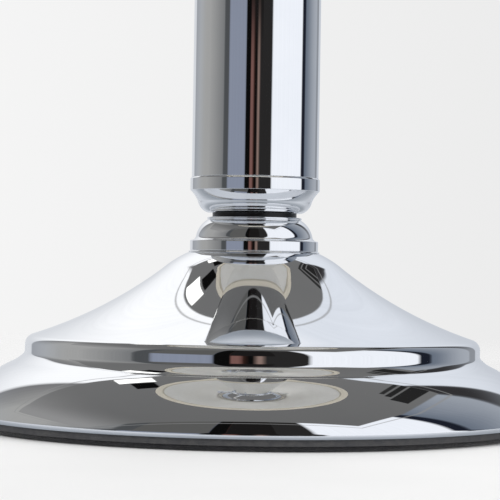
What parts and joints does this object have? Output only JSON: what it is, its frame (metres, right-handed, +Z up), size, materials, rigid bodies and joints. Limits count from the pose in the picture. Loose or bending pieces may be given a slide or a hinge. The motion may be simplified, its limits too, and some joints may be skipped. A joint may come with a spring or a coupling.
{
  "type": "candle lamp with shade",
  "caption": "Spring-fed candle lamp: polished stepped foot, knob, straight candle tube with a twist cap, and a conical shade on a sliding carrier.",
  "frame": {"origin": "middle of the underside of the felt, on the lamp's axis", "axes": "+Z up along the candle tube; -X towards the thumb screw of the shade carrier"},
  "size_m": [0.1616, 0.1616, 0.3302],
  "materials": {
    "polished_chrome": "mirror-polished chrome plate",
    "iron": "black painted casting",
    "felt": "dark wool felt",
    "zinc_steel": "zinc plated",
    "dark_steel": "blackened steel",
    "spring_steel": "bright wire",
    "wax": "ivory wax, slightly translucent",
    "cotton": "braided cotton",
    "shade_wire": "white enamelled wire",
    "shade_linen": "off-white linen weave on a stiff backing",
    "trim_tape": "woven tape"
  },
  "bodies": {
    "lamp": {"felt_pad": "felt", "foot_weight": "iron", "foot_shell": "polished_chrome", "tie_rod": "zinc_steel", "tie_washer": "zinc_steel", "tie_nut": "zinc_steel", "knob_seat_ring": "polished_chrome", "lower_knob": "polished_chrome", "neck_spacer": "dark_steel", "tube_cup": "polished_chrome", "candle_tube": "polished_chrome", "bayonet_pins": "polished_chrome", "feed_spring": "spring_steel", "candle": "wax", "wick": "cotton"},
    "follower": {"candle_follower": "zinc_steel"},
    "cap": {"tube_cap": "polished_chrome"},
    "carrier": {"carrier_collar": "polished_chrome", "carrier_arm_1": "polished_chrome", "carrier_arm_2": "polished_chrome", "carrier_arm_3": "polished_chrome", "carrier_ring": "polished_chrome"},
    "screw": {"thumb_screw": "polished_chrome"},
    "shade": {"shade_spider": "shade_wire", "shade_bottom_ring": "shade_wire", "shade_cloth": "shade_linen", "trim_top": "trim_tape", "trim_bottom": "trim_tape"}
  },
  "joints": [
    {"name": "candle_feed", "type": "slide", "parent": "lamp", "child": "follower", "axis": [0, 0, 1], "range_m": [0, 0.13], "deforming": ["feed_spring", "candle"]},
    {"name": "cap_turn", "type": "hinge", "parent": "lamp", "child": "cap", "pos_m": [0, 0, 0.24465], "axis": [0, 0, 1], "range_deg": [0, 30]},
    {"name": "carrier_slide", "type": "slide", "parent": "lamp", "child": "carrier", "axis": [0, 0, 1], "range_m": [-0.06, 0.005]},
    {"name": "screw_turn", "type": "hinge", "parent": "carrier", "child": "screw", "pos_m": [-0.02, 0, 0.21965], "axis": [-1, 0, 0], "range_deg": [0, 360]},
    {"name": "shade_lift", "type": "slide", "parent": "carrier", "child": "shade", "axis": [0, 0, 1], "range_m": [0, 0.125]}
  ]
}
